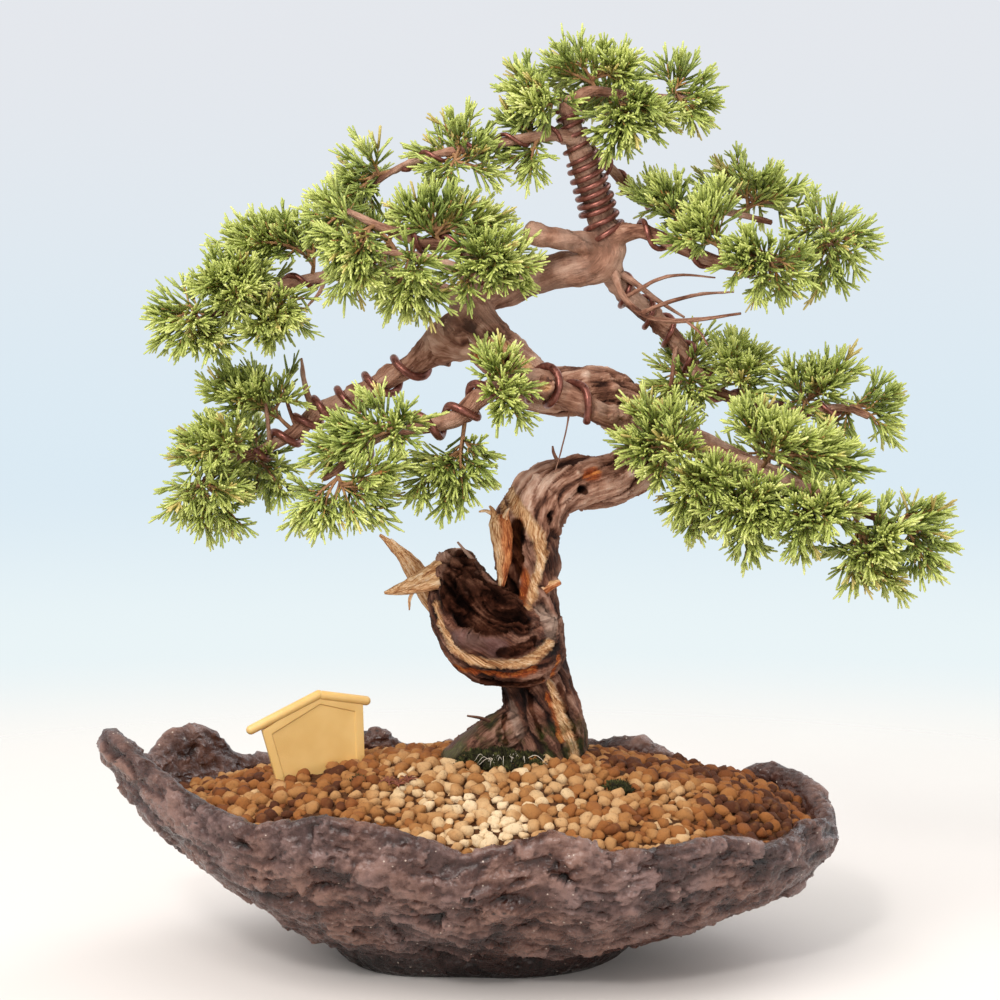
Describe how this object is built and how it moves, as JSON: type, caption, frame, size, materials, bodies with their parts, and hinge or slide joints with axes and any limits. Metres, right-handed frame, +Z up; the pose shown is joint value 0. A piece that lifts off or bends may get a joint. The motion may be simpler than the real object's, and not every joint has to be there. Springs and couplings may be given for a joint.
{
  "type": "bonsai tree in a pot",
  "caption": "Coiled juniper bonsai with wired boughs and leafy sprays, in a rock-like pot with a mound of grit and a bare house-shaped plaque.",
  "frame": {"origin": "middle of the pot's foot, on the surface that the pot stands on", "axes": "+Z up, +X to the right seen from the front, +Y away from the front"},
  "size_m": [0.3537, 0.1978, 0.3863],
  "materials": {
    "pot_clay": null,
    "grit": null,
    "label_plastic": "pale yellow plastic, satin",
    "mesh_plastic": "black plastic mesh",
    "bark": "flaking grey-brown bark with strips of bare orange-tan dead wood",
    "wire_metal": "copper-brown anodised soft wire, satin",
    "foliage": null
  },
  "bodies": {
    "root": {"pot": "pot_clay", "soil": "grit", "drain_mesh_left": "mesh_plastic", "drain_mesh_right": "mesh_plastic", "label_plaque": "label_plastic", "tree_wood": "bark", "wire_low_left": "wire_metal", "wire_front_left": "wire_metal", "wire_mid_left": "wire_metal", "wire_upper_left": "wire_metal", "wire_far_left": "wire_metal", "wire_upper_right": "wire_metal", "wire_back_right": "wire_metal", "wire_low_right": "wire_metal", "wire_column": "wire_metal", "spray_mid_left_1": "foliage", "spray_mid_left_2": "foliage", "spray_mid_left_3": "foliage", "spray_mid_left_4": "foliage", "spray_mid_left_5": "foliage", "spray_upper_left_1": "foliage", "spray_upper_left_2": "foliage", "spray_upper_left_3": "foliage", "spray_upper_left_4": "foliage", "spray_upper_left_5": "foliage", "spray_far_left_1": "foliage", "spray_far_left_2": "foliage", "spray_far_left_3": "foliage", "spray_apex_1": "foliage", "spray_apex_2": "foliage", "spray_apex_3": "foliage", "spray_apex_4": "foliage", "spray_apex_5": "foliage", "spray_upper_right_1": "foliage", "spray_upper_right_2": "foliage", "spray_upper_right_3": "foliage", "spray_upper_right_4": "foliage", "spray_upper_right_5": "foliage", "spray_low_right_1": "foliage", "spray_low_right_2": "foliage", "spray_low_right_3": "foliage", "spray_low_right_4": "foliage", "spray_cascade_1": "foliage", "spray_cascade_2": "foliage", "spray_cascade_3": "foliage", "spray_cascade_4": "foliage", "spray_cascade_5": "foliage", "spray_cascade_6": "foliage", "spray_cascade_7": "foliage", "spray_back_right_1": "foliage", "spray_back_left_1": "foliage", "spray_low_left_1": "foliage", "spray_low_left_2": "foliage", "spray_low_left_3": "foliage", "spray_low_left_4": "foliage", "spray_front_left_1": "foliage", "spray_front_left_2": "foliage", "spray_front_left_3": "foliage", "spray_front_left_4": "foliage"}
  },
  "joints": []
}
